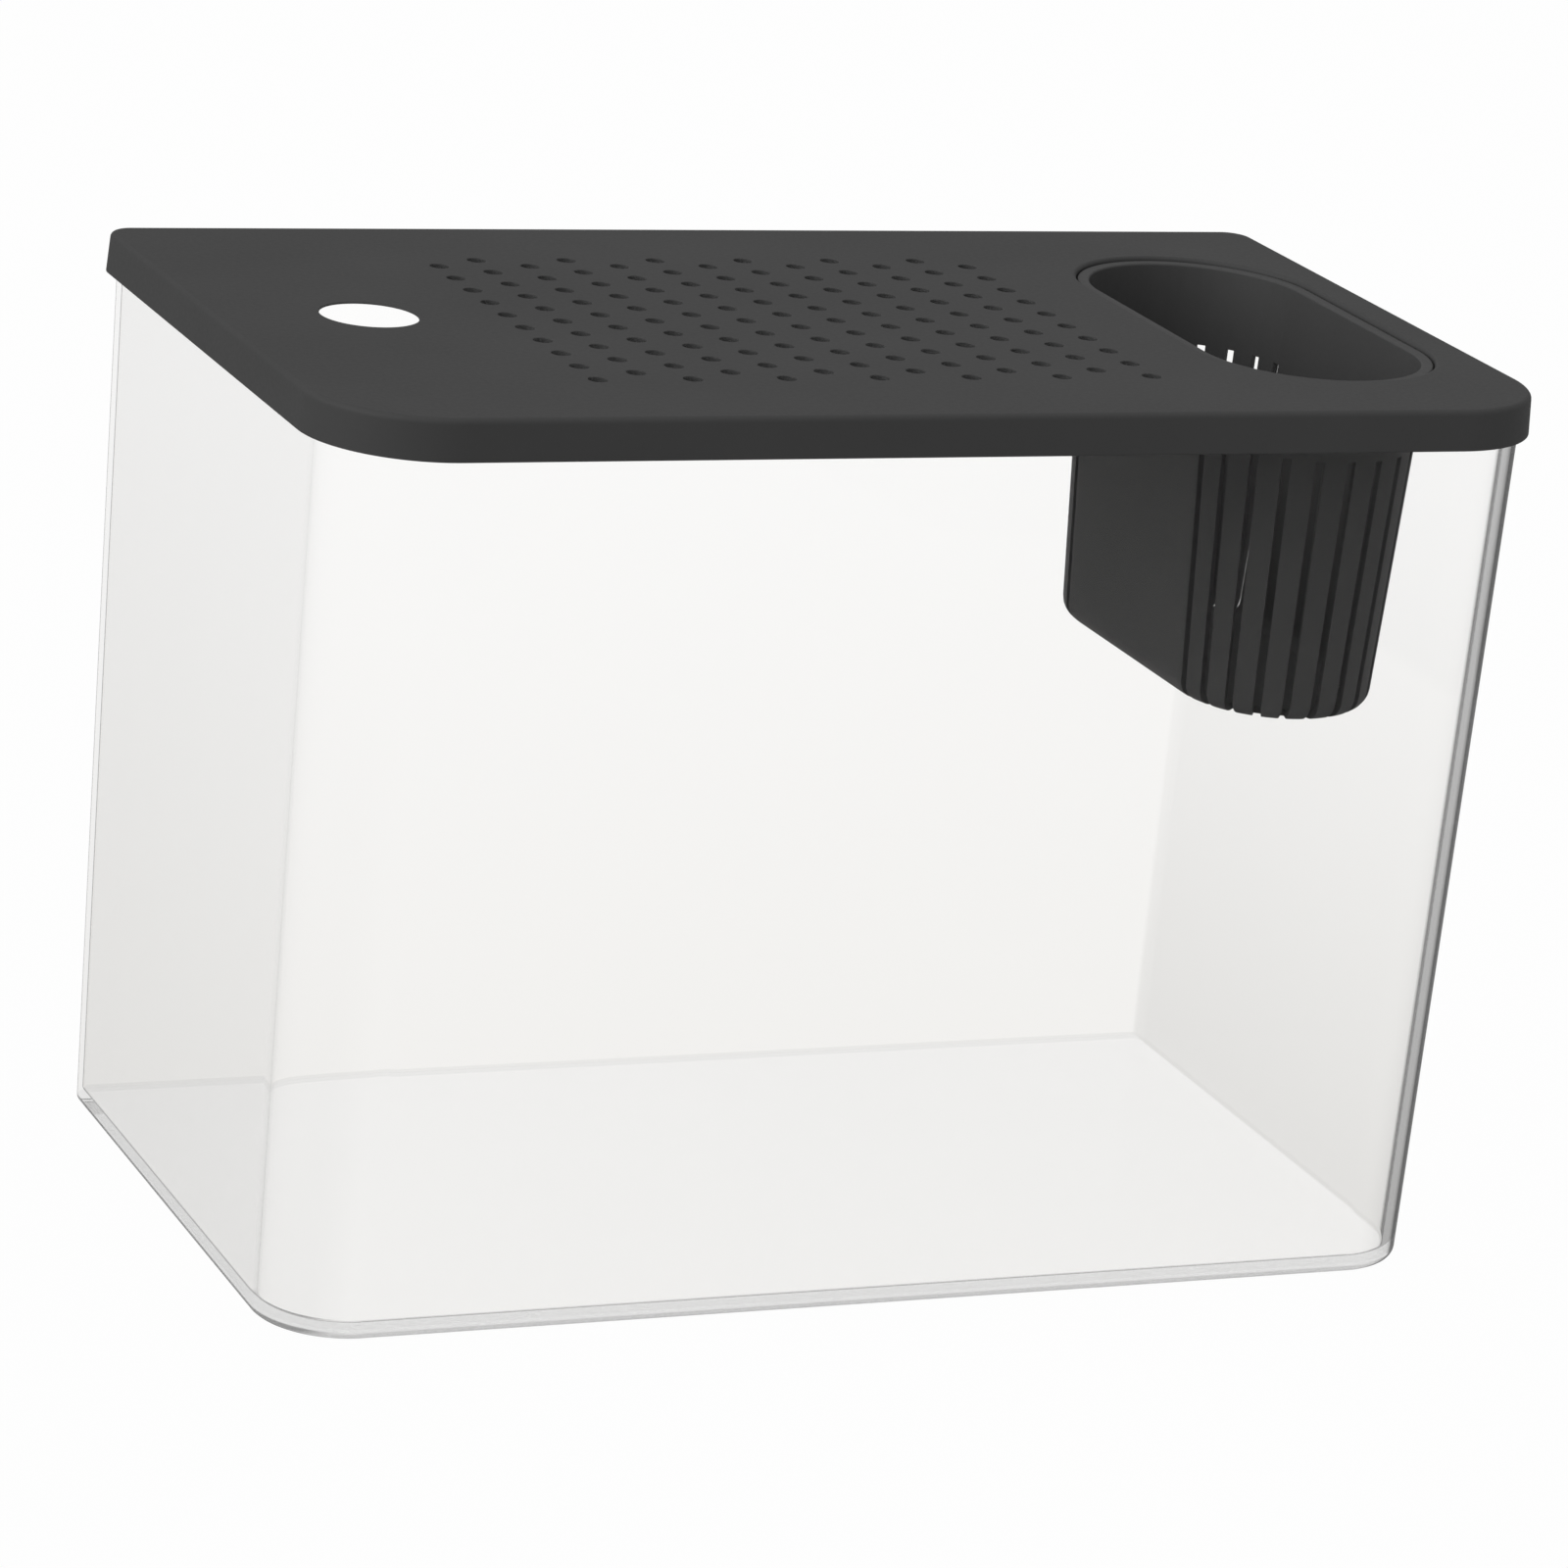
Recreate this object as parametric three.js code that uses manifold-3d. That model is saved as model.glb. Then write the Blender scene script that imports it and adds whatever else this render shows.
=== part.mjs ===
// Reptile feeding box: a clear moulded tank, a vented lid that drops over its rim,
// and a slotted feeding cup that hangs in an oblong opening of the lid.
// Millimetres, +Z up. The origin is the middle of the tank's underside, the front faces -Y
// and the cup is towards +X.

import * as THREE from "three";
import { mergeVertices } from "three/addons/utils/BufferGeometryUtils.js";
import Module from "manifold-3d";

const wasm = await Module();
wasm.setup();

// Overall size, measured over the lid
const overallHeight = 190;
const lidLength = 265;
const lidDepth = 152;

// Upright corners of the lid and the tank: wide rounds at the front, tight ones at the back
const frontCornerRadius = 25;
const backCornerRadius = 6;

// Lid: a flat plate with a short skirt all round, which opens a little towards its lower edge
const lidPlate = 1.6;
const lidSkirtHeight = 8.5;
const lidSkirtWall = 1.4;
const lidSkirtDraft = 0.4;
const lidEdgeRound = 1.2;

// Vents: staggered round holes in straight columns, as many as the room between the feed hole
// and the cup's seat takes inside these margins
const ventPitch = 10;
const ventDiameter = 4;
const ventEndMargin = 15;
const ventSideMargin = 22;
const ventSides = 8;

// Feed hole: one larger round hole near the left end, bevelled on its underside
const feedHoleDiameter = 20;
const feedHoleFromEnd = 33;
const feedHoleY = 3;
const feedHoleBevel = 1;

// Tank: open on top, drawn in a little towards its foot so that it leaves the mould
const tankWall = 2.5;
const tankFloor = 3;
const tankEndDraft = 2.4;
const tankSideDraft = 4.9;
const tankFootRound = 2;
const tankInnerRound = 0.6;

// Cup: round-ended, tapered, with upright slots round both ends, near the lid's right end
const cupFromEnd = 35.7;
const cupHalfStraight = 25.3;
const cupOpeningRadius = 23.6;
const cupWall = 1.4;
const cupFloor = 1.6;
const cupDepth = 74.2;
const cupTaper = 3.6;
const cupFootRound = 4;
const cupFlange = 1.4;
const cupFlangeReach = 1.2;
const cupFlangeEdge = 0.4;
const cupFlangeSink = 0.8;
const slotsPerEnd = 11;
const slotWidth = 1.8;
const slotTopBelowLid = 18;
const slotReachIntoFloor = 2.9;

// Seat in the lid for the cup's flange
const seatLedge = 1.5;
const seatWall = 1.3;

// Fits
const seatGap = 0.3;
const lidClearance = 0.3;
const cupClearance = 0.3;

// How far a cutter runs past the face that it opens
const cutPast = 1;

// Fineness of the round shapes
const cornerSteps = 12;
const edgeSteps = 4;
const cupEndSteps = 22;
const feedHoleSides = 40;

// Heights that follow from the sizes above
const plateUnderside = overallHeight - lidPlate;
const tankHeight = plateUnderside - seatGap;
const flangeTop = overallHeight - cupFlangeSink;
const flangeUnderside = flangeTop - cupFlange;
const ledgeTop = flangeUnderside - seatGap;
const ledgeUnderside = ledgeTop - seatLedge;
const cupBottom = flangeTop - cupDepth;

// Insets and radii that follow
const tankInset = lidSkirtWall + lidSkirtDraft + lidClearance;
const cupBodyRadius = cupOpeningRadius + cupWall;
const flangeRadius = cupBodyRadius + cupFlangeReach;
const seatRadius = flangeRadius + cupClearance;
const ledgeRadius = cupBodyRadius + cupClearance;

// Places along the lid, from its ends, and the room that the vents share between them
const cupX = lidLength / 2 - cupFromEnd;
const feedHoleX = feedHoleFromEnd - lidLength / 2;
const ventRoomStart = feedHoleX + feedHoleDiameter / 2;
const ventRoomEnd = cupX - seatRadius - seatWall;
const ventMiddleX = (ventRoomStart + ventRoomEnd) / 2;
const ventFieldLength = ventRoomEnd - ventRoomStart - 2 * ventEndMargin - ventDiameter;
const ventFieldDepth = lidDepth - 2 * ventSideMargin - ventDiameter - ventPitch / 2;
const ventColumns = Math.floor(ventFieldLength / ventPitch) + 1;
const ventRows = Math.floor(ventFieldDepth / ventPitch) + 1;

const plastic = {
  clear: { color: 0xf2f4f3, roughness: 0.08, metalness: 0, transparent: true, opacity: 0.3 },
  charcoal: { color: 0x474747, roughness: 0.5, metalness: 0 },
  dark: { color: 0x3d3d3d, roughness: 0.5, metalness: 0 },
};

// Turns a closed three.js geometry into a solid that can be joined and cut.
function solid(geometry) {
  const bare = geometry.index ? geometry.toNonIndexed() : geometry.clone();
  bare.deleteAttribute("normal");
  bare.deleteAttribute("uv");
  const merged = mergeVertices(bare);
  return new wasm.Manifold(new wasm.Mesh({
    numProp: 3,
    vertProperties: new Float32Array(merged.attributes.position.array),
    triVerts: new Uint32Array(merged.index.array),
  }));
}

// Turns a finished solid back into a named three.js mesh.
function piece(name, body, material) {
  const mesh = body.getMesh();
  const geometry = new THREE.BufferGeometry();
  geometry.setAttribute("position", new THREE.Float32BufferAttribute(mesh.vertProperties, 3));
  geometry.setIndex(Array.from(mesh.triVerts));
  geometry.computeVertexNormals();
  const result = new THREE.Mesh(geometry, new THREE.MeshStandardMaterial(material));
  result.name = name;
  return result;
}

// Outline of a rectangle centred on the origin, with one radius for its two front corners and
// another for its two back corners.
function roundedRectangle(width, depth, frontRadius, backRadius) {
  const end = width / 2;
  const side = depth / 2;
  const outline = new THREE.Shape();
  outline.absarc(end - backRadius, side - backRadius, backRadius, 0, Math.PI / 2);
  outline.absarc(backRadius - end, side - backRadius, backRadius, Math.PI / 2, Math.PI);
  outline.absarc(frontRadius - end, frontRadius - side, frontRadius, Math.PI, 3 * Math.PI / 2);
  outline.absarc(end - frontRadius, frontRadius - side, frontRadius, 3 * Math.PI / 2, 2 * Math.PI);
  return outline.getPoints(cornerSteps / 2);
}

// Outline of a slot shape with half-round ends, its straight sides along Y.
function stadium(radius) {
  const outline = new THREE.Shape();
  outline.absarc(cupX, cupHalfStraight, radius, 0, Math.PI);
  outline.absarc(cupX, -cupHalfStraight, radius, Math.PI, 2 * Math.PI);
  return outline.getPoints(cupEndSteps / 2);
}

// Closed solid through a stack of outlines with equal numbers of points, from the lowest up.
function loft(levels) {
  const count = levels[0].outline.length;
  const positions = levels.flatMap(({ outline, z }) => outline.flatMap((point) => [point.x, point.y, z]));
  const faces = [];
  for (let level = 0; level + 1 < levels.length; level += 1) {
    for (let i = 0; i < count; i += 1) {
      const a = level * count + i;
      const b = level * count + (i + 1) % count;
      faces.push(a, b, b + count, a, b + count, a + count);
    }
  }
  const top = (levels.length - 1) * count;
  for (const [a, b, c] of THREE.ShapeUtils.triangulateShape(levels[0].outline, [])) {
    faces.push(a, c, b);
  }
  for (const [a, b, c] of THREE.ShapeUtils.triangulateShape(levels.at(-1).outline, [])) {
    faces.push(top + a, top + b, top + c);
  }
  const geometry = new THREE.BufferGeometry();
  geometry.setAttribute("position", new THREE.Float32BufferAttribute(positions, 3));
  geometry.setIndex(faces);
  return solid(geometry);
}

// Quarter-round steps of an edge: how far each one is in from the side and off the end face.
function roundedEdge(radius) {
  return Array.from({ length: edgeSteps + 1 }, (_, step) => {
    const angle = step / edgeSteps * Math.PI / 2;
    return { inset: radius * (1 - Math.sin(angle)), rise: radius * (1 - Math.cos(angle)) };
  });
}

// Upright cylinder or cone between two heights.
function upright(x, y, bottomRadius, topRadius, z0, z1, sides) {
  const geometry = new THREE.CylinderGeometry(topRadius, bottomRadius, z1 - z0, sides);
  geometry.rotateX(Math.PI / 2);
  geometry.translate(x, y, (z0 + z1) / 2);
  return solid(geometry);
}

// The tank's outline at a height, pulled in by an inset from its outer face.
function tankOutline(z, inset) {
  const drawn = 1 - z / tankHeight;
  return roundedRectangle(
    lidLength - 2 * (tankInset + tankEndDraft * drawn + inset),
    lidDepth - 2 * (tankInset + tankSideDraft * drawn + inset),
    frontCornerRadius - tankInset - tankSideDraft * drawn - inset,
    backCornerRadius - tankInset - inset,
  );
}

// Tank: the drafted outer body with a rounded foot, hollowed from above.
function tank() {
  const outer = roundedEdge(tankFootRound).map(({ inset, rise }) => ({ z: rise, inset }));
  outer.push({ z: tankHeight, inset: 0 });
  const inner = roundedEdge(tankInnerRound).map(({ inset, rise }) => (
    { z: tankFloor + rise, inset: inset + tankWall }
  ));
  inner.push({ z: tankHeight + cutPast, inset: tankWall });
  const level = ({ z, inset }) => ({ z, outline: tankOutline(z, inset) });
  return loft(outer.map(level)).subtract(loft(inner.map(level)));
}

// The lid's outline, pulled in by an inset from its outer face.
function lidOutline(inset) {
  return roundedRectangle(
    lidLength - 2 * inset,
    lidDepth - 2 * inset,
    frontCornerRadius - inset,
    backCornerRadius - inset,
  );
}

// Lid: plate and skirt in one moulding, with a ledged seat under the cup's opening.
function lid() {
  const skirtBottom = overallHeight - lidSkirtHeight;
  const above = overallHeight + cutPast;
  const edge = roundedEdge(lidEdgeRound).reverse();
  const shell = loft([
    { z: skirtBottom, outline: lidOutline(0) },
    ...edge.map(({ inset, rise }) => (
      { z: overallHeight - rise, outline: lidOutline(lidSkirtDraft + inset) }
    )),
  ]);
  const hollow = loft([
    { z: skirtBottom - cutPast, outline: lidOutline(lidSkirtWall) },
    { z: skirtBottom, outline: lidOutline(lidSkirtWall) },
    { z: plateUnderside, outline: lidOutline(lidSkirtWall + lidSkirtDraft) },
  ]);
  const seatBlock = loft([
    { z: ledgeUnderside, outline: stadium(seatRadius + seatWall) },
    { z: plateUnderside + lidPlate / 2, outline: stadium(seatRadius + seatWall) },
  ]);
  const seat = loft([
    { z: ledgeTop, outline: stadium(seatRadius) },
    { z: above, outline: stadium(seatRadius) },
  ]);
  const opening = loft([
    { z: ledgeUnderside - cutPast, outline: stadium(ledgeRadius) },
    { z: above, outline: stadium(ledgeRadius) },
  ]);
  let body = shell.subtract(hollow).add(seatBlock).subtract(seat).subtract(opening);
  for (const hole of [feedHole(), ...vents()]) {
    body = body.subtract(hole);
  }
  return body;
}

// Cutters for the feed hole: the straight bore and the bevel that opens it below.
function feedHole() {
  const radius = feedHoleDiameter / 2;
  const below = plateUnderside - cutPast;
  const bevelTop = plateUnderside + feedHoleBevel;
  const bore = upright(feedHoleX, feedHoleY, radius, radius, below, overallHeight + cutPast, feedHoleSides);
  const bevelRadius = radius + bevelTop - below;
  return bore.add(upright(feedHoleX, feedHoleY, bevelRadius, radius, below, bevelTop, feedHoleSides));
}

// Cutters for the vents: every other column sits half a pitch nearer to the front.
function vents() {
  const radius = ventDiameter / 2;
  const cutters = [];
  for (let column = 0; column < ventColumns; column += 1) {
    const x = ventMiddleX + (column - (ventColumns - 1) / 2) * ventPitch;
    const stagger = column % 2 === 0 ? -ventPitch / 4 : ventPitch / 4;
    for (let row = 0; row < ventRows; row += 1) {
      const y = (row - (ventRows - 1) / 2) * ventPitch + stagger;
      cutters.push(upright(x, y, radius, radius, plateUnderside - cutPast, overallHeight + cutPast, ventSides));
    }
  }
  return cutters;
}

// Radius of the cup's outer ends at a height: the body narrows evenly towards its foot.
function cupRadius(z) {
  return cupBodyRadius - cupTaper * (flangeTop - z) / cupDepth;
}

// Cup: tapered body with a rounded foot and a flange, hollowed from above and slotted.
function cup() {
  const outer = roundedEdge(cupFootRound).map(({ inset, rise }) => (
    { z: cupBottom + rise, radius: cupRadius(cupBottom + rise) - inset }
  ));
  outer.push(
    { z: flangeUnderside, radius: cupRadius(flangeUnderside) },
    { z: flangeUnderside, radius: flangeRadius },
    { z: flangeTop - cupFlangeEdge, radius: flangeRadius },
    { z: flangeTop, radius: flangeRadius - cupFlangeEdge },
  );
  const floorTop = cupBottom + cupFloor;
  const inner = roundedEdge(cupFootRound - cupWall).map(({ inset, rise }) => (
    { z: floorTop + rise, radius: cupRadius(floorTop + rise) - cupWall - inset }
  ));
  inner.push({ z: flangeTop + cutPast, radius: cupRadius(flangeTop + cutPast) - cupWall });
  const level = ({ z, radius }) => ({ z, outline: stadium(radius) });
  let body = loft(outer.map(level)).subtract(loft(inner.map(level)));
  for (const slot of cupSlots()) {
    body = body.subtract(slot);
  }
  return body;
}

// Cutters for the upright slots, fanned evenly round each of the cup's half-round ends.
function cupSlots() {
  const bottom = cupBottom - cutPast;
  const height = overallHeight - slotTopBelowLid - bottom;
  const near = cupRadius(cupBottom) - slotReachIntoFloor;
  const far = flangeRadius;
  const cutters = [];
  for (const end of [1, -1]) {
    for (let i = 0; i < slotsPerEnd; i += 1) {
      const angle = (i - (slotsPerEnd - 1) / 2) / slotsPerEnd * Math.PI;
      const cutter = new THREE.BoxGeometry(slotWidth, far - near, height);
      cutter.translate(0, (near + far) / 2, bottom + height / 2);
      cutter.rotateZ(end > 0 ? angle : Math.PI + angle);
      cutter.translate(cupX, end * cupHalfStraight, 0);
      cutters.push(solid(cutter));
    }
  }
  return cutters;
}

const box = new THREE.Group();
box.add(
  piece("tank", tank(), plastic.clear),
  piece("lid", lid(), plastic.charcoal),
  piece("cup", cup(), plastic.dark),
);

export default box;
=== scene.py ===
# Reptile feeding box: a clear moulded tank, a vented charcoal lid that drops over its rim, and
# a slotted feeding cup that hangs in the lid. Metres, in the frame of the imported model: the
# front faces -Y, the cup is towards +X and the tank stands on z = 0.

import math

import bmesh
import bpy
from mathutils import Matrix, Vector


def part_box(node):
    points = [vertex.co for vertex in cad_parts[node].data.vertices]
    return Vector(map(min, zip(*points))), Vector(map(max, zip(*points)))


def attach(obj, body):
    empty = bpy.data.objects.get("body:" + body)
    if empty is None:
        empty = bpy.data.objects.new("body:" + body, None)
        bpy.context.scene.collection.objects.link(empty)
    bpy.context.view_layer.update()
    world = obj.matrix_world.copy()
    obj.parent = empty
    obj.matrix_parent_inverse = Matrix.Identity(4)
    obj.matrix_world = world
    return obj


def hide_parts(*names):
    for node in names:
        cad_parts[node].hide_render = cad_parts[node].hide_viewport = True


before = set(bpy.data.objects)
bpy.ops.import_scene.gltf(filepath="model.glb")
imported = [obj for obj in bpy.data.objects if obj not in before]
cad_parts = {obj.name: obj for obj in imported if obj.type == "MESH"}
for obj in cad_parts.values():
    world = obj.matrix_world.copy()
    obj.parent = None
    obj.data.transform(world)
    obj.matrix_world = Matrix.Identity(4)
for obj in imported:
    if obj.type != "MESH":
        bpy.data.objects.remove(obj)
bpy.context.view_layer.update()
mm = 0.001

# Camera: a long lens, a little above the box and off to the left of its front, turned a few
# degrees about its own line of sight, so that the box leans in the picture.
camera_azimuth = math.radians(-24.697)
camera_elevation = math.radians(17.431)
camera_roll = math.radians(5.921)
camera_place = Vector((-536.7, -1166.9, 492.7)) * mm
focal_length_px = 6569
picture_width_px = 1600
sensor_width_mm = 36.0
nearest_seen = 10 * mm
furthest_seen = 100.0

lens = bpy.data.cameras.new("photograph_lens")
lens.sensor_fit = "HORIZONTAL"
lens.sensor_width = sensor_width_mm
lens.lens = focal_length_px / picture_width_px * sensor_width_mm
lens.clip_start = nearest_seen
lens.clip_end = furthest_seen
camera = bpy.data.objects.new("photograph_camera", lens)
camera.matrix_world = (
    Matrix.Translation(camera_place)
    @ Matrix.Rotation(camera_azimuth, 4, "Z")
    @ Matrix.Rotation(math.pi / 2 - camera_elevation, 4, "X")
    @ Matrix.Rotation(camera_roll, 4, "Z")
)
bpy.context.scene.collection.objects.link(camera)
bpy.context.scene.camera = camera
bpy.context.scene.view_settings.view_transform = "Standard"


# Studio: a white sweep that the camera sees as plain white, straight or through clear plastic,
# in a dim room that polished faces reflect. A soft sky and two broad lamps light the object.
white = (1, 1, 1, 1)
sky_level = 0.5
room_level = 0.33
overhead_level = 0.1
side_level = 0.45
side_lamp_elevation = math.radians(32)
side_lamp_azimuth = math.radians(-80)
lamp_softness = math.radians(70)
floor_radius = 20.0
floor_sides = 36
floor_paint_low = 0.49
floor_paint_high = 0.51
floor_grain_scale = 40.0
floor_grain_detail = 3.0
floor_glow_share = 0.98
floor_glow_share_through_plastic = 1.0
level_after_one_reflection = 0.5
level_after_more_reflections = 0.75


def add_node(tree, kind, inputs=None, **settings):
    """Adds a node, makes its settings, and gives its inputs a plain value or a link each."""
    node = tree.nodes.new(kind)
    for name, value in settings.items():
        setattr(node, name, value)
    for name, value in (inputs or {}).items():
        if isinstance(value, bpy.types.NodeSocket):
            tree.links.new(value, node.inputs[name])
        else:
            node.inputs[name].default_value = value
    return node


def calculate(tree, operation, one, other=0.0):
    return add_node(tree, "ShaderNodeMath", {0: one, 1: other}, operation=operation).outputs[0]


def product(tree, one, other):
    return calculate(tree, "MULTIPLY", one, other)


def larger(tree, one, other):
    return calculate(tree, "MAXIMUM", one, other)


def more_than(tree, count, limit):
    """1 where a whole number is above a limit, and 0 elsewhere."""
    return calculate(tree, "GREATER_THAN", count, limit + 0.5)


def stretch(tree, value, from_low, from_high, to_low=0.0, to_high=1.0):
    """Carries a value from one range to another, and holds it at the ends of that range."""
    return add_node(tree, "ShaderNodeMapRange", {
        "Value": value,
        "From Min": from_low,
        "From Max": from_high,
        "To Min": to_low,
        "To Max": to_high,
    }).outputs["Result"]


def blend_levels(tree, share, one, other):
    return add_node(tree, "ShaderNodeMix", {"Factor": share, "A": one, "B": other}).outputs["Result"]


def blend_surfaces(tree, share, one, other):
    return add_node(tree, "ShaderNodeMixShader", {0: share, 1: one, 2: other}).outputs[0]


def seen_share(tree, path, straight_share, through_share):
    """How much plain white the camera sees, straight or through plastic, and none for lighting."""
    straight = product(tree, path.outputs["Is Camera Ray"], straight_share)
    through = product(tree, path.outputs["Is Transmission Ray"], through_share)
    return add_node(tree, "ShaderNodeMath", {
        0: larger(tree, straight, through),
        1: more_than(tree, path.outputs["Diffuse Depth"], 0),
    }, operation="SUBTRACT", use_clamp=True).outputs[0]


def sweep_level(tree, path):
    """White for light that came straight, dimmer after reflections inside the plastic."""
    reflections = path.outputs["Glossy Depth"]
    after_one = blend_levels(tree, more_than(tree, reflections, 0), 1.0, level_after_one_reflection)
    return blend_levels(tree, more_than(tree, reflections, 1), after_one, level_after_more_reflections)


def plain_sky(tree, level):
    return add_node(tree, "ShaderNodeBackground", {"Color": white, "Strength": level}).outputs[0]


world = bpy.data.worlds.new("studio_sky")
world.use_nodes = True
sky = world.node_tree
sky.nodes.clear()
sky_path = add_node(sky, "ShaderNodeLightPath")
soft_sky = plain_sky(sky, sky_level)
dim_room = plain_sky(sky, room_level)
white_sweep = plain_sky(sky, sweep_level(sky, sky_path))
lit_or_reflected = blend_surfaces(sky, sky_path.outputs["Is Glossy Ray"], soft_sky, dim_room)
left_plastic = more_than(sky, sky_path.outputs["Glossy Depth"], 1)
seen = larger(sky, seen_share(sky, sky_path, 1.0, 1.0), left_plastic)
for_camera = blend_surfaces(sky, seen, lit_or_reflected, white_sweep)
scattered = more_than(sky, sky_path.outputs["Diffuse Depth"], 0)
add_node(sky, "ShaderNodeOutputWorld", {"Surface": blend_surfaces(sky, scattered, for_camera, soft_sky)})
bpy.context.scene.world = world


def empty_material(name):
    material = bpy.data.materials.new(name)
    material.use_nodes = True
    material.node_tree.nodes.clear()
    return material, material.node_tree


def floor_paint():
    """Pale grey paint with a faint grain, which the camera sees as the white of the sweep."""
    material, tree = empty_material("white_floor")
    path = add_node(tree, "ShaderNodeLightPath")
    grain = add_node(tree, "ShaderNodeTexNoise", {"Scale": floor_grain_scale,
                                                  "Detail": floor_grain_detail})
    colour = stretch(tree, grain.outputs["Fac"], 0.0, 1.0, floor_paint_low, floor_paint_high)
    lit = add_node(tree, "ShaderNodeBsdfDiffuse", {"Color": colour})
    glowing = add_node(tree, "ShaderNodeEmission", {"Color": white, "Strength": sweep_level(tree, path)})
    glow_share = seen_share(tree, path, floor_glow_share, floor_glow_share_through_plastic)
    surface = blend_surfaces(tree, glow_share, lit.outputs[0], glowing.outputs[0])
    add_node(tree, "ShaderNodeOutputMaterial", {"Surface": surface})
    return material


floor_turns = [math.tau * side / floor_sides for side in range(floor_sides)]
floor_mesh = bpy.data.meshes.new("studio_floor")
floor_mesh.from_pydata(
    [(floor_radius * math.cos(turn), floor_radius * math.sin(turn), 0) for turn in floor_turns],
    [], [tuple(range(floor_sides))],
)
floor_mesh.materials.append(floor_paint())
floor = bpy.data.objects.new("studio_floor", floor_mesh)
floor.visible_glossy = False
bpy.context.scene.collection.objects.link(floor)


def soft_lamp(name, level, elevation, azimuth):
    """A broad far-off lamp. At level 1 it lights a white face turned to it to full white."""
    lamp = bpy.data.lights.new(name, "SUN")
    lamp.energy = level * math.pi
    lamp.angle = lamp_softness
    holder = bpy.data.objects.new(name, lamp)
    holder.matrix_world = (
        Matrix.Rotation(azimuth, 4, "Z") @ Matrix.Rotation(math.pi / 2 - elevation, 4, "X")
    )
    bpy.context.scene.collection.objects.link(holder)


soft_lamp("overhead_lamp", overhead_level, math.pi / 2, 0)
soft_lamp("side_lamp", side_level, side_lamp_elevation, side_lamp_azimuth)


# Tank: one thin-walled injection moulding in clear plastic, open on top. Its upright corners
# are wide rounds at the front and tight ones at the back, and it is drawn in towards its foot.
tank_wall = 2.5 * mm
tank_floor = 3 * mm
tank_front_radius = 22.9 * mm
tank_back_radius = 3.9 * mm
tank_end_draft = 2.4 * mm
tank_side_draft = 4.9 * mm
tank_foot_round = 2 * mm
tank_inner_round = 0.8 * mm
tank_rim_round = 0.6 * mm
corner_steps = 32
large_round_steps = 6
round_steps = 4
small_round_steps = 3
sharp_edge_angle = math.radians(40)
flat_face_weight = 80
same_weight_limit = 1e-8
tank_low, tank_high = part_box("tank")
tank_length = tank_high.x - tank_low.x
tank_depth = tank_high.y - tank_low.y
tank_height = tank_high.z

# Tank's plastic. It bends light less than real plastic does, which would show strong lines of
# guided light where the photograph has faint ones.
plastic_refraction = 1.16
plastic_roughness_low = 0.015
plastic_roughness_high = 0.045
plastic_shadow = (0.95, 0.95, 0.95, 1)
plastic_body_colour = (0.5, 0.5, 0.49, 1)
plastic_body_density = 6.0
flow_mark_scale = 35.0
flow_mark_detail = 2.0
flow_mark_relief = 0.2 * mm
flow_mark_strength = 0.05
fine_haze_scale = 220.0
fine_haze_detail = 4.0
tint_between_marks = (0.99, 0.989, 0.986, 1)
tint_on_marks = (1.0, 0.998, 0.994, 1)
# Painted shade: the plastic's tint darkens low on the walls, and most low on the ends by the cup
painted_shade_at_foot = (0.948, 0.943, 0.932, 1)
painted_shade_by_cup_end = (0.835, 0.831, 0.822, 1)
far_end_painted_shade_share = 0.34
# Painted shade: the plastic's tint goes near black where it is seen edge on, at its foot and along its
# inner seam, in place of dark lines of guided light
painted_edge_shade = (0.04, 0.04, 0.04, 1)

# How far edge on a face is seen, from 0 to 1, where its painted shade starts and where it is full
corner_seen_edge_on = (0.64, 0.74)
wall_seen_edge_on = (0.74, 0.84)
wall_painted_shade_share = 0.3

# How far a face leans, where it starts to count as part of a corner or an end and where it does
corner_lean = (0.08, 0.2)
end_lean = (0.2, 0.6)

# Shares by how far a face looks down, at -1, or up, at 1
upright_face_shares = [(-0.7, 0.0), (-0.3, 1.0), (0.3, 1.0), (0.7, 0.0)]
# Painted shade along the tank's foot, heavier at the foot of its ends, and along the seam where its
# floor meets the walls
foot_painted_shade_shares = [(-0.98, 0.0), (-0.9, 0.4), (-0.4, 0.4), (-0.1, 0.0)]
end_foot_painted_shade_shares = [(-0.98, 0.0), (-0.9, 0.85), (-0.15, 0.85), (-0.04, 0.0)]
seam_painted_shade_shares = [(0.2, 0.0), (0.5, 0.18), (0.9, 0.18), (0.98, 0.0)]
end_seam_painted_shade_share = 0.3


def arc(centre_x, centre_y, radius, first, last, steps):
    """Points along an arc, both ends included, with its angles in degrees."""
    turns = [math.radians(first + (last - first) * step / steps) for step in range(steps + 1)]
    return [(centre_x + radius * math.cos(turn), centre_y + radius * math.sin(turn)) for turn in turns]


def rounded_rectangle(length, depth, front, back):
    """Anticlockwise outline about the origin with a radius for its front and its back corners."""
    end = length / 2
    side = depth / 2
    return (
        arc(end - back, side - back, back, 0, 90, corner_steps)
        + arc(back - end, side - back, back, 90, 180, corner_steps)
        + arc(front - end, front - side, front, 180, 270, corner_steps)
        + arc(end - front, front - side, front, 270, 360, corner_steps)
    )


def quarter_round(radius, steps):
    """Steps of a rounded edge, each with how far it is in from the side and off the end face."""
    turns = [math.pi / 2 * step / steps for step in range(steps + 1)]
    return [(radius * (1 - math.sin(turn)), radius * (1 - math.cos(turn))) for turn in turns]


def ring(shape, outline, z):
    return [shape.verts.new((x, y, z)) for x, y in outline]


def bridge(shape, rings):
    """Skins a stack of closed rings with four-sided faces."""
    for one, two in zip(rings, rings[1:]):
        for i in range(len(one)):
            j = (i + 1) % len(one)
            shape.faces.new((one[i], one[j], two[j], two[i]))


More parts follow.
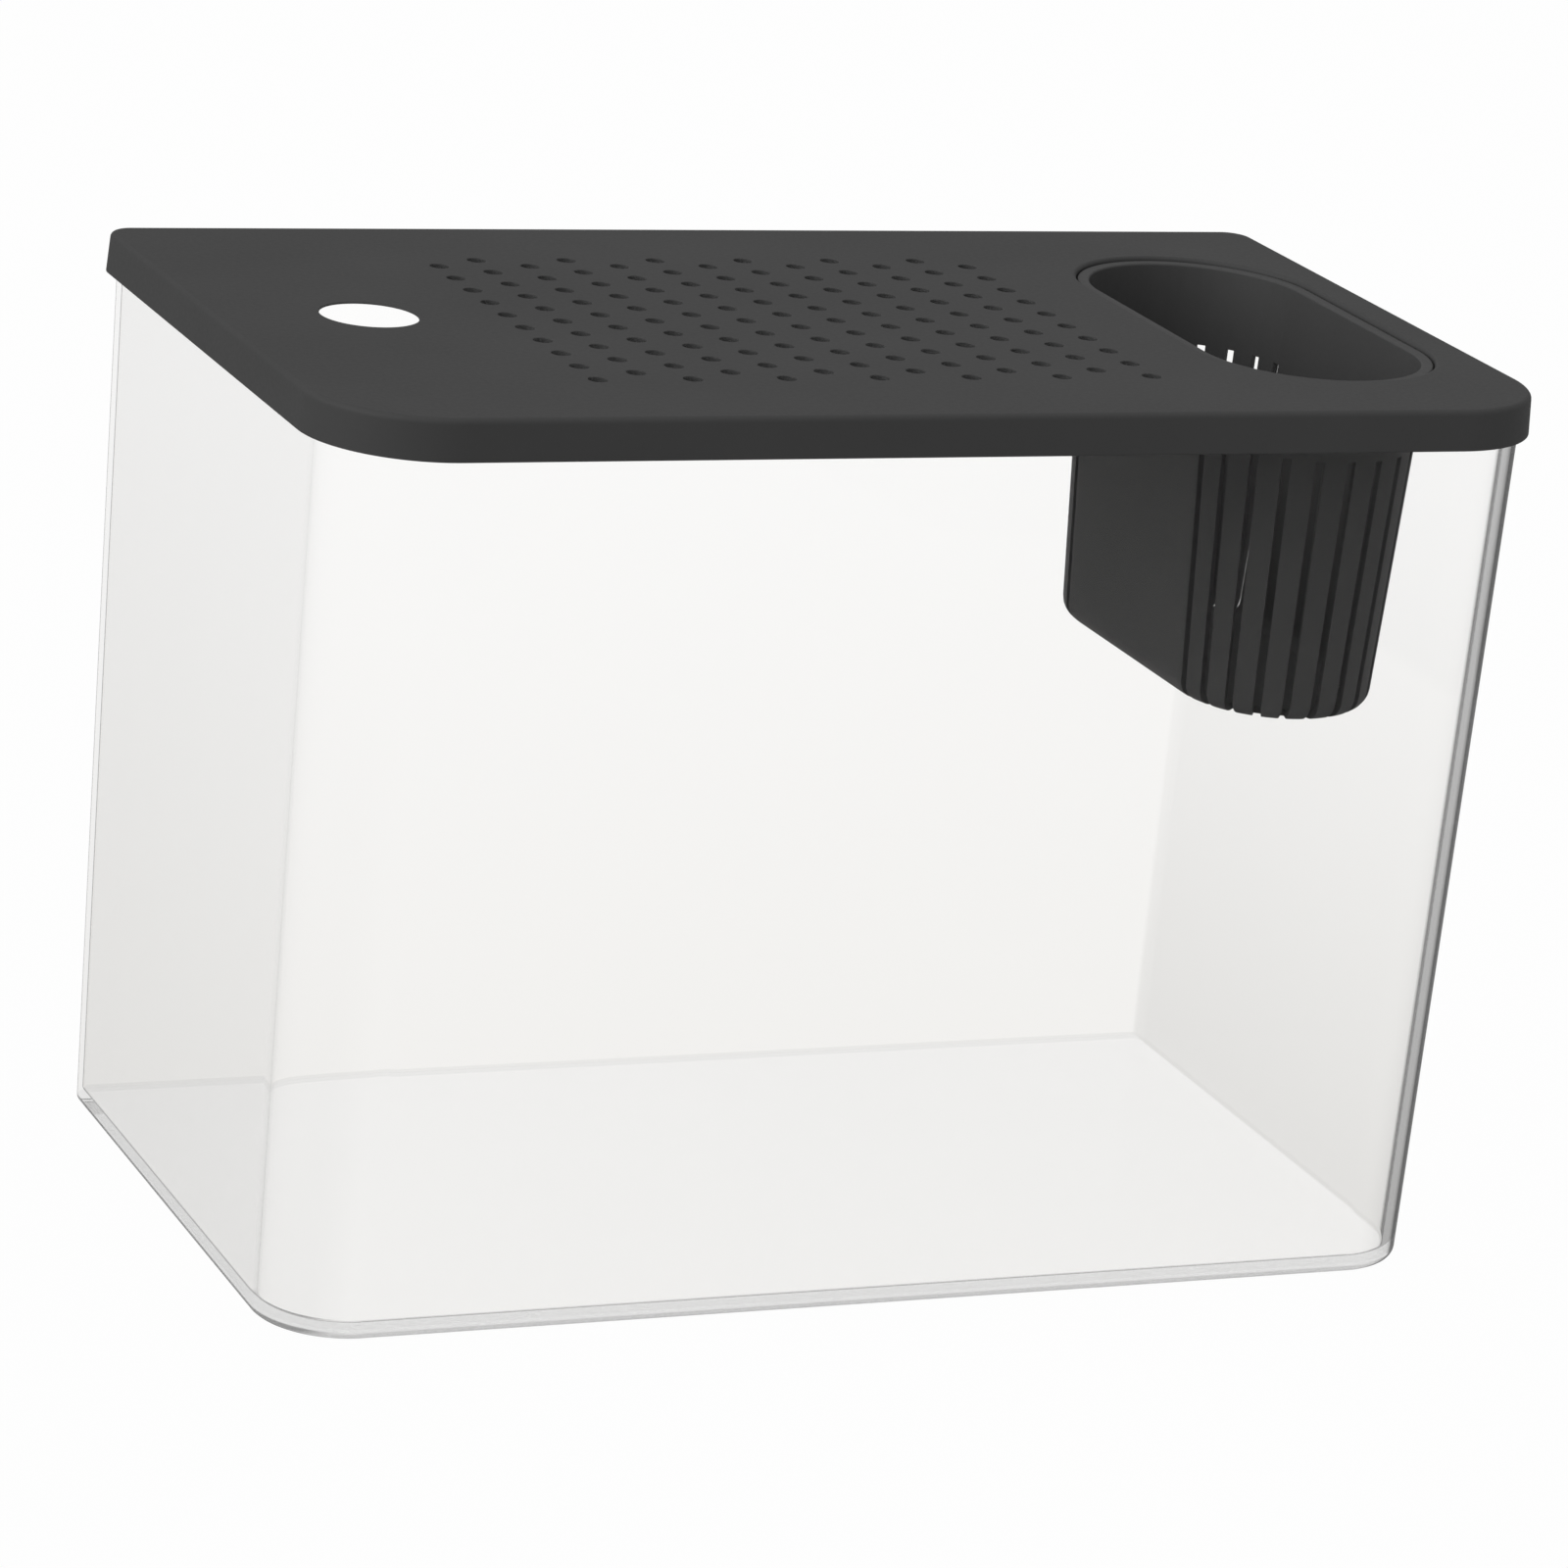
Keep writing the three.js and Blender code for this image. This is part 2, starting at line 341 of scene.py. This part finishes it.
def finished_piece(name, shape, material):
    """Makes a smooth-shaded object of a closed shape, with its sharp edges kept sharp."""
    bmesh.ops.recalc_face_normals(shape, faces=shape.faces)
    mesh = bpy.data.meshes.new(name)
    shape.to_mesh(mesh)
    shape.free()
    mesh.shade_smooth()
    mesh.set_sharp_from_angle(angle=sharp_edge_angle)
    mesh.materials.append(material)
    made = bpy.data.objects.new(name, mesh)
    bpy.context.scene.collection.objects.link(made)
    return made


def weigh_normals(piece):
    """Lets each large flat face stay flat in the light where a small round meets it."""
    even = piece.modifiers.new("even_shading", "WEIGHTED_NORMAL")
    even.keep_sharp = True
    even.weight = flat_face_weight
    even.thresh = same_weight_limit


def tank_ring(shape, z, inset):
    drawn = 1 - z / tank_height
    outline = rounded_rectangle(
        tank_length - 2 * (tank_end_draft * drawn + inset),
        tank_depth - 2 * (tank_side_draft * drawn + inset),
        tank_front_radius - tank_side_draft * drawn - inset,
        tank_back_radius - inset,
    )
    return ring(shape, outline, z)


def tank_shape():
    """Skins the tank from under its floor, up the outside, over the rim and down the inside."""
    shape = bmesh.new()
    foot = quarter_round(tank_foot_round, large_round_steps)
    rim = quarter_round(tank_rim_round, round_steps)
    seam = quarter_round(tank_inner_round, round_steps)
    path = [(rise, inset) for inset, rise in foot]
    path += [(tank_height - rise, inset) for inset, rise in reversed(rim)]
    path += [(tank_height - rise, tank_wall - inset) for inset, rise in rim]
    path += [(tank_floor + rise, tank_wall + inset) for inset, rise in reversed(seam)]
    rings = [tank_ring(shape, z, inset) for z, inset in path]
    bridge(shape, rings)
    shape.faces.new(rings[0])
    shape.faces.new(rings[-1])
    return shape


def noise(tree, place, scale, detail):
    return add_node(tree, "ShaderNodeTexNoise", {
        "Vector": place.outputs["Object"],
        "Scale": scale,
        "Detail": detail,
    }).outputs["Fac"]


def blend_colours(tree, share, one, other):
    return add_node(tree, "ShaderNodeMix", {
        "Factor": share,
        "A": one,
        "B": other,
    }, data_type="RGBA").outputs["Result"]


def share_by_slope(tree, normal, shares):
    """A share that follows how far a face looks down or up, through a short list of stops."""
    upward = stretch(tree, normal.outputs["Z"], -1.0, 1.0)
    ramp = add_node(tree, "ShaderNodeValToRGB", {"Fac": upward})
    elements = ramp.color_ramp.elements
    while len(elements) < len(shares):
        elements.new(1.0)
    for element, (looks_up, share) in zip(elements, shares):
        element.position = (looks_up + 1) / 2
        element.color = (share, share, share, 1)
    return ramp.outputs["Color"]


def tint_with_painted_shade(tree, spot, normal, faces_an_end, tint):
    """Darkens the tint with faint painted shade low on the walls, and with deeper painted shade low on
    the ends by the cup.
    """
    near_foot = stretch(tree, spot.outputs["Z"], tank_height, tank_floor)
    low_on_a_wall = product(tree, near_foot, share_by_slope(tree, normal, upright_face_shares))
    near_cup_end = stretch(tree, spot.outputs["X"], tank_low.x, tank_high.x, far_end_painted_shade_share)
    low_on_an_end = product(tree, product(tree, near_foot, near_foot), faces_an_end)
    shaded_tint = blend_colours(tree, low_on_a_wall, tint, painted_shade_at_foot)
    return blend_colours(tree, product(tree, low_on_an_end, near_cup_end), shaded_tint, painted_shade_by_cup_end)


def painted_edge_shade_share(tree, normal, faces_an_end):
    """How much painted shade greys the plastic: at corners and walls seen edge on, at the foot and at
    the seam.
    """
    leans_both_ways = product(tree, normal.outputs["X"], normal.outputs["Y"])
    on_a_corner = stretch(tree, calculate(tree, "ABSOLUTE", leans_both_ways), *corner_lean)
    edge_on = add_node(tree, "ShaderNodeLayerWeight", {"Blend": 0.5}).outputs["Facing"]
    corner = product(tree, stretch(tree, edge_on, *corner_seen_edge_on), on_a_corner)
    wall = stretch(tree, edge_on, *wall_seen_edge_on, to_high=wall_painted_shade_share)
    foot = share_by_slope(tree, normal, foot_painted_shade_shares)
    end_foot = product(tree, share_by_slope(tree, normal, end_foot_painted_shade_shares), faces_an_end)
    fades_at_ends = stretch(tree, faces_an_end, 0.0, 1.0, 1.0, end_seam_painted_shade_share)
    seam = product(tree, share_by_slope(tree, normal, seam_painted_shade_shares), fades_at_ends)
    share = corner
    for other in (wall, foot, end_foot, seam):
        share = larger(tree, share, other)
    return share


def clear_plastic():
    """Polished clear plastic with faint flow marks, painted shade that grows towards the foot, and
    painted shade at its edges.
    """
    material, tree = empty_material("clear_polished_plastic")
    place = add_node(tree, "ShaderNodeTexCoord")
    spot = add_node(tree, "ShaderNodeSeparateXYZ", {"Vector": place.outputs["Object"]})
    normal = add_node(tree, "ShaderNodeSeparateXYZ", {"Vector": place.outputs["Normal"]})
    faces_an_end = stretch(tree, calculate(tree, "ABSOLUTE", normal.outputs["X"]), *end_lean)
    flow_marks = noise(tree, place, flow_mark_scale, flow_mark_detail)
    fine_haze = noise(tree, place, fine_haze_scale, fine_haze_detail)
    tint = blend_colours(tree, flow_marks, tint_between_marks, tint_on_marks)
    shaded_tint = tint_with_painted_shade(tree, spot, normal, faces_an_end, tint)
    ripple = add_node(tree, "ShaderNodeBump", {
        "Height": flow_marks,
        "Strength": flow_mark_strength,
        "Distance": flow_mark_relief,
    })
    polished = add_node(tree, "ShaderNodeBsdfPrincipled", {
        "Base Color": blend_colours(tree, painted_edge_shade_share(tree, normal, faces_an_end), shaded_tint, painted_edge_shade),
        "Roughness": stretch(tree, fine_haze, 0.0, 1.0, plastic_roughness_low, plastic_roughness_high),
        "Normal": ripple.outputs["Normal"],
        "IOR": plastic_refraction,
        "Transmission Weight": 1.0,
    })
    lets_light_by = add_node(tree, "ShaderNodeBsdfTransparent", {"Color": plastic_shadow})
    path = add_node(tree, "ShaderNodeLightPath")
    reflected_inside = more_than(tree, path.outputs["Glossy Depth"], 1)
    passes = larger(tree, path.outputs["Is Shadow Ray"], reflected_inside)
    body = add_node(tree, "ShaderNodeVolumeAbsorption", {
        "Color": plastic_body_colour,
        "Density": plastic_body_density,
    })
    add_node(tree, "ShaderNodeOutputMaterial", {
        "Surface": blend_surfaces(tree, passes, polished.outputs[0], lets_light_by.outputs[0]),
        "Volume": body.outputs[0],
    })
    return material


tank = finished_piece("clear_tank", tank_shape(), clear_plastic())
weigh_normals(tank)
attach(tank, "tank_body")
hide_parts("tank")


# Lid: one flat moulding in charcoal plastic with a fine satin grain. A short skirt drops over
# the tank's rim. Staggered vents, a feed hole and an oblong ledged seat for the cup go through it.
lid_front_radius = 25 * mm
lid_back_radius = 6 * mm
lid_plate = 1.6 * mm
lid_skirt_wall = 1.4 * mm
lid_skirt_draft = 0.4 * mm
lid_edge_round = 1.2 * mm
lid_small_round = 0.3 * mm
vent_pitch = 10 * mm
vent_radius = 2 * mm
vent_columns = 13
vent_rows = 10
vent_sides = 24
vent_edge_round = 0.2 * mm
feed_hole_radius = 10 * mm
feed_hole_from_end = 33 * mm
feed_hole_y = 3 * mm
feed_hole_sink_depth = 1.2 * mm
feed_hole_sink_width = 5 * mm
feed_hole_sides = 64
seat_clearance = 0.3 * mm
seat_ledge = 1.5 * mm
seat_wall = 1.3 * mm
seat_edge_round = 0.9 * mm
cup_flange = 1.4 * mm
cup_body_radius = 25 * mm
cup_end_steps = 44
lid_low, lid_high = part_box("lid")
cup_low, cup_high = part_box("cup")
lid_length = lid_high.x - lid_low.x
lid_depth = lid_high.y - lid_low.y
lid_top = lid_high.z
plate_underside = lid_top - lid_plate
cup_x = (cup_low.x + cup_high.x) / 2
flange_radius = (cup_high.x - cup_low.x) / 2
cup_half_straight = cup_high.y - flange_radius
seat_radius = flange_radius + seat_clearance
ledge_radius = cup_body_radius + seat_clearance
ledge_top = cup_high.z - cup_flange - seat_clearance
ledge_underside = ledge_top - seat_ledge
feed_hole_x = lid_low.x + feed_hole_from_end
vent_middle_x = (feed_hole_x + feed_hole_radius + cup_x - seat_radius - seat_wall) / 2

# Charcoal plastic of the lid and the cup
lid_charcoal = (0.054, 0.054, 0.054)
charcoal_shine = 0.2
charcoal_roughness_low = 0.5
charcoal_roughness_high = 0.62
charcoal_darker_share = 0.9
charcoal_paler_share = 1.12
cloud_scale = 28.0
cloud_detail = 3.0
grain_scale = 900.0
grain_detail = 2.0
grain_relief = 0.01 * mm
grain_strength = 0.1


def circle(x, y, radius, sides):
    return arc(x, y, radius, 0, 360 * (sides - 1) / sides, sides - 1)


def oblong(radius):
    """Outline with half-round ends and straight sides along Y, about the cup's middle."""
    return (
        arc(cup_x, cup_half_straight, radius, 0, 180, cup_end_steps)
        + arc(cup_x, -cup_half_straight, radius, 180, 360, cup_end_steps)
    )


def fill_flat(shape, rings):
    """Fills the flat face between an outer ring and the rings of its holes."""
    edges = [shape.edges.get((loop[i], loop[i - 1])) for loop in rings for i in range(len(loop))]
    bmesh.ops.triangle_fill(shape, use_beauty=True, use_dissolve=False, edges=edges)


def through_hole(shape, x, y, sides, radius, top_round, sink_depth, sink_width):
    """Skins a hole, sunk from below, and gives the rings where it meets the plate's two faces."""
    edge = quarter_round(top_round, small_round_steps)
    path = [(lid_top - rise, radius + inset) for inset, rise in edge]
    path += [(plate_underside + sink_depth, radius), (plate_underside, radius + sink_width)]
    rings = [ring(shape, circle(x, y, across, sides), z) for z, across in path]
    bridge(shape, rings)
    return rings[0], rings[-1]


def lid_ring(shape, z, inset):
    outline = rounded_rectangle(
        lid_length - 2 * inset, lid_depth - 2 * inset,
        lid_front_radius - inset, lid_back_radius - inset,
    )
    return ring(shape, outline, z)


def skirt(shape):
    """Skins the lid's edge, down the outside and up the inside, and gives its top and last rings."""
    small = quarter_round(lid_small_round, small_round_steps)
    edge = quarter_round(lid_edge_round, large_round_steps)
    inside = lid_skirt_wall + lid_skirt_draft
    path = [(lid_top - rise, lid_skirt_draft + inset) for inset, rise in edge]
    path += [(lid_low.z + rise, inset) for inset, rise in reversed(small)]
    path += [(lid_low.z + rise, lid_skirt_wall - inset) for inset, rise in small]
    path += [(plate_underside - rise, inside + inset) for inset, rise in reversed(small)]
    rings = [lid_ring(shape, z, inset) for z, inset in path]
    bridge(shape, rings)
    return rings[0], rings[-1]


def seat(shape):
    """Skins the cup's ledged seat from the lid's top to its underside."""
    small = quarter_round(lid_small_round, small_round_steps)
    edge = quarter_round(seat_edge_round, round_steps)
    path = [(lid_top - rise, seat_radius + inset) for inset, rise in edge]
    path += [(ledge_top, seat_radius)]
    path += [(ledge_top - rise, ledge_radius + inset) for inset, rise in small]
    path += [(ledge_underside + rise, ledge_radius + inset) for inset, rise in reversed(small)]
    path += [(ledge_underside + rise, seat_radius + seat_wall - inset) for inset, rise in small]
    path += [(plate_underside, seat_radius + seat_wall)]
    rings = [ring(shape, oblong(radius), z) for z, radius in path]
    bridge(shape, rings)
    return rings[0], rings[-1]


def feed_hole(shape):
    return through_hole(
        shape, feed_hole_x, feed_hole_y, feed_hole_sides,
        feed_hole_radius, lid_small_round, feed_hole_sink_depth, feed_hole_sink_width,
    )


def vents(shape):
    """Skins the vents. Every other column sits half a pitch nearer to the front."""
    rounds = (vent_edge_round, vent_edge_round, vent_edge_round)
    holes = []
    for column in range(vent_columns):
        x = vent_middle_x + (column - (vent_columns - 1) / 2) * vent_pitch
        stagger = vent_pitch / 4 * (1 if column % 2 else -1)
        for row in range(vent_rows):
            y = (row - (vent_rows - 1) / 2) * vent_pitch + stagger
            holes.append(through_hole(shape, x, y, vent_sides, vent_radius, *rounds))
    return holes


def lid_shape():
    """Skins every edge and opening of the lid, then fills its flat top and underside."""
    shape = bmesh.new()
    openings = [skirt(shape), seat(shape), feed_hole(shape), *vents(shape)]
    fill_flat(shape, [top for top, bottom in openings])
    fill_flat(shape, [bottom for top, bottom in openings])
    return shape


def satin_plastic(name, colour):
    """Charcoal moulding with a fine spark-eroded grain and slightly uneven colour."""
    material, tree = empty_material(name)
    place = add_node(tree, "ShaderNodeTexCoord")
    grain = noise(tree, place, grain_scale, grain_detail)
    cloud = noise(tree, place, cloud_scale, cloud_detail)
    darker = tuple(channel * charcoal_darker_share for channel in colour) + (1,)
    paler = tuple(channel * charcoal_paler_share for channel in colour) + (1,)
    relief = add_node(tree, "ShaderNodeBump", {
        "Height": grain,
        "Strength": grain_strength,
        "Distance": grain_relief,
    })
    satin = add_node(tree, "ShaderNodeBsdfPrincipled", {
        "Base Color": blend_colours(tree, cloud, darker, paler),
        "Roughness": stretch(tree, grain, 0.0, 1.0, charcoal_roughness_low, charcoal_roughness_high),
        "Normal": relief.outputs["Normal"],
        "Specular IOR Level": charcoal_shine,
    })
    add_node(tree, "ShaderNodeOutputMaterial", {"Surface": satin.outputs[0]})
    return material


lid = finished_piece("vented_lid", lid_shape(), satin_plastic("lid_charcoal", lid_charcoal))
weigh_normals(lid)
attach(lid, "lid_body")
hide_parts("lid")


# Cup: a round-ended, tapered moulding in the same charcoal plastic. Its flange hangs on the
# ledge in the lid, and upright slots round both ends run down through the foot.
cup_opening_radius = 23.6 * mm
cup_floor = 1.6 * mm
cup_taper = 3.6 * mm
cup_foot_round = 4 * mm
cup_flange_edge = 0.4 * mm
cup_lip_round = 0.5 * mm
# The cup is the lid's charcoal plastic painted a little lighter: painted light on its shaded faces
# inside it and behind the tank's walls
cup_charcoal_painted_lighter = (0.066, 0.066, 0.066)
slots_per_end = 11
slot_width = 1.8 * mm
slot_top_below_lid = 18 * mm
slot_run_under = 1.5 * mm
stave_steps = 4
cup_edge_break = 0.2 * mm
cup_edge_break_steps = 2
cup_edge_break_angle = math.radians(50)
cup_wall = cup_body_radius - cup_opening_radius
cup_depth = cup_high.z - cup_low.z
slot_top = lid_top - slot_top_below_lid


def cup_radius(z):
    """Outer radius of the cup's ends at a height."""
    return cup_body_radius - cup_taper * (cup_high.z - z) / cup_depth


def end_columns(radius):
    """Angles round one half-round end, and which of the steps between them cross a slot."""
    half_slot = math.asin(slot_width / 2 / radius)
    angles = [0.0]
    crosses = []
    for i in range(slots_per_end):
        middle = math.pi / 2 + (i - (slots_per_end - 1) / 2) / slots_per_end * math.pi
        start, stop = angles[-1], middle - half_slot
        steps = stave_steps if i else stave_steps // 2
        angles += [start + (stop - start) * step / steps for step in range(1, steps + 1)]
        crosses += [False] * steps
        angles.append(middle + half_slot)
        crosses.append(True)
    start, steps = angles[-1], stave_steps // 2
    angles += [start + (math.pi - start) * step / steps for step in range(1, steps + 1)]
    crosses += [False] * steps
    return angles, crosses


def cup_ring(shape, z, radius):
    angles = end_columns(radius)[0]
    outline = []
    for y, turned in ((cup_half_straight, 0), (-cup_half_straight, math.pi)):
        outline += [
            (cup_x + radius * math.cos(angle + turned), y + radius * math.sin(angle + turned))
            for angle in angles
        ]
    return ring(shape, outline, z)


def foot_path(bottom, inward, radius):
    """The cup's wall from the slots' tops down, round its foot and in to the slots' ends."""
    path = [(slot_top, cup_radius(slot_top) - inward)]
    for inset, rise in reversed(quarter_round(radius, large_round_steps)):
        path.append((bottom + rise, cup_radius(bottom + rise) - inward - inset))
    path.append((bottom, path[-1][1] - slot_run_under))
    return path


def rim_path():
    """The cup's wall above the slots, outside, over the flange and down inside."""
    flange_underside = cup_high.z - cup_flange
    path = [(flange_underside, cup_radius(flange_underside)), (flange_underside, flange_radius)]
    for inset, rise in reversed(quarter_round(cup_flange_edge, small_round_steps)):
        path.append((cup_high.z - rise, flange_radius - inset))
    for inset, rise in quarter_round(cup_lip_round, round_steps):
        path.append((cup_high.z - rise, cup_opening_radius + inset))
    return path


def skin_slot(shape, outer, inner, i, j):
    """Skins the two sides, the top and the lower end of the slot between two columns."""
    for side in (i, j):
        for out, out_below, ins, ins_below in zip(outer, outer[1:], inner, inner[1:]):
            shape.faces.new((out[side], out_below[side], ins_below[side], ins[side]))
    for out, ins in ((outer[0], inner[0]), (outer[-1], inner[-1])):
        shape.faces.new((out[i], out[j], ins[j], ins[i]))


def skin_stave(shape, outer, inner, i, j):
    """Skins the outer and inner faces of the wall between two columns."""
    for rings in (outer, inner):
        for one, two in zip(rings, rings[1:]):
            shape.faces.new((one[i], one[j], two[j], two[i]))


def cup_shape():
    """Skins the cup over its rim and across its floor, then its staves and slots in turn."""
    shape = bmesh.new()
    outer = [cup_ring(shape, z, radius) for z, radius in foot_path(cup_low.z, 0, cup_foot_round)]
    inner = [
        cup_ring(shape, z, radius)
        for z, radius in foot_path(cup_low.z + cup_floor, cup_wall, cup_foot_round - cup_wall)
    ]
    rim = [cup_ring(shape, z, radius) for z, radius in rim_path()]
    bridge(shape, [outer[0], *rim, inner[0]])
    shape.faces.new(outer[-1])
    shape.faces.new(inner[-1])
    crosses = (end_columns(cup_body_radius)[1] + [False]) * 2
    for i, crosses_slot in enumerate(crosses):
        skin = skin_slot if crosses_slot else skin_stave
        skin(shape, outer, inner, i, (i + 1) % len(crosses))
    return shape


cup = finished_piece("slotted_cup", cup_shape(), satin_plastic("cup_charcoal_painted_lighter", cup_charcoal_painted_lighter))
edge_break = cup.modifiers.new("edge_break", "BEVEL")
edge_break.width = cup_edge_break
edge_break.segments = cup_edge_break_steps
edge_break.limit_method = "ANGLE"
edge_break.angle_limit = cup_edge_break_angle
weigh_normals(cup)
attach(cup, "cup_body")
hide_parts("cup")
